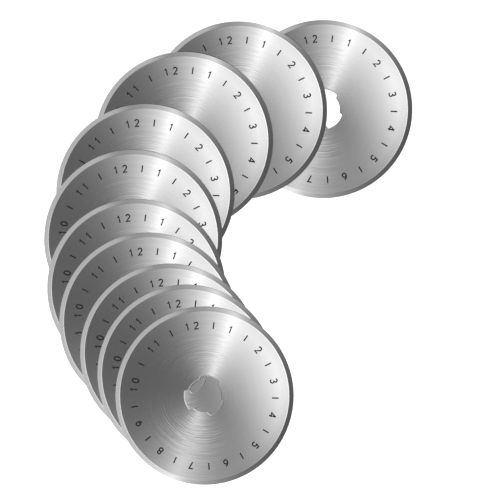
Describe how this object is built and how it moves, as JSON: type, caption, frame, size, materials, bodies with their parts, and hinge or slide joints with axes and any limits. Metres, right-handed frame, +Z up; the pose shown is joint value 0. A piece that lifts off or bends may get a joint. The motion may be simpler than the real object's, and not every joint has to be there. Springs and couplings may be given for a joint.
{
  "type": "rotary cutter blades",
  "caption": "Loose round cutting blades with lobed arbor holes and numbered dials, spread in an overlapping fan.",
  "frame": {"origin": "middle of the fan's box in plan, on the surface it lies on", "axes": "+Z up off the table, +Y along the fan's length towards the first blade, +X to the right seen from above"},
  "size_m": [0.093, 0.1174, 0.0022],
  "materials": {
    "blade_steel": "fine circular grain, ground bevel",
    "dial_marks": "dark etched numbers and ticks"
  },
  "bodies": {
    "blade_01": {"blade_01": "blade_steel"},
    "blade_02": {"blade_02": "blade_steel"},
    "blade_03": {"blade_03": "blade_steel"},
    "blade_04": {"blade_04": "blade_steel"},
    "blade_05": {"blade_05": "blade_steel"},
    "blade_06": {"blade_06": "blade_steel"},
    "blade_07": {"blade_07": "blade_steel"},
    "blade_08": {"blade_08": "blade_steel"},
    "blade_09": {"blade_09": "blade_steel"},
    "blade_10": {"blade_10": "blade_steel"}
  },
  "joints": [
    {"name": "blade_02_spin", "type": "hinge", "parent": "blade_01", "child": "blade_02", "pos_m": [0.00248, 0.03582, 0.00054], "axis": [-0.0161, -0.0084, 0.9998], "continuous": true},
    {"name": "blade_03_spin", "type": "hinge", "parent": "blade_01", "child": "blade_03", "pos_m": [-0.01123, 0.02812, 0.00076], "axis": [-0.0184, -0.0216, 0.9996], "continuous": true},
    {"name": "blade_04_spin", "type": "hinge", "parent": "blade_01", "child": "blade_04", "pos_m": [-0.02092, 0.01493, 0.00086], "axis": [-0.0105, -0.0314, 0.9995], "continuous": true},
    {"name": "blade_05_spin", "type": "hinge", "parent": "blade_01", "child": "blade_05", "pos_m": [-0.02398, 0.00339, 0.00103], "axis": [-0.0004, -0.0413, 0.9991], "continuous": true},
    {"name": "blade_06_spin", "type": "hinge", "parent": "blade_01", "child": "blade_06", "pos_m": [-0.0232, -0.00901, 0.00099], "axis": [0.0049, -0.0391, 0.9992], "continuous": true},
    {"name": "blade_07_spin", "type": "hinge", "parent": "blade_01", "child": "blade_07", "pos_m": [-0.02012, -0.01753, 0.001], "axis": [0.0049, -0.0391, 0.9992], "continuous": true},
    {"name": "blade_08_spin", "type": "hinge", "parent": "blade_01", "child": "blade_08", "pos_m": [-0.01488, -0.02537, 0.00101], "axis": [0.0049, -0.0391, 0.9992], "continuous": true},
    {"name": "blade_09_spin", "type": "hinge", "parent": "blade_01", "child": "blade_09", "pos_m": [-0.01052, -0.03066, 0.00113], "axis": [0.0049, -0.0391, 0.9992], "continuous": true},
    {"name": "blade_10_spin", "type": "hinge", "parent": "blade_01", "child": "blade_10", "pos_m": [-0.00596, -0.03618, 0.00125], "axis": [0.0049, -0.0391, 0.9992], "continuous": true}
  ]
}
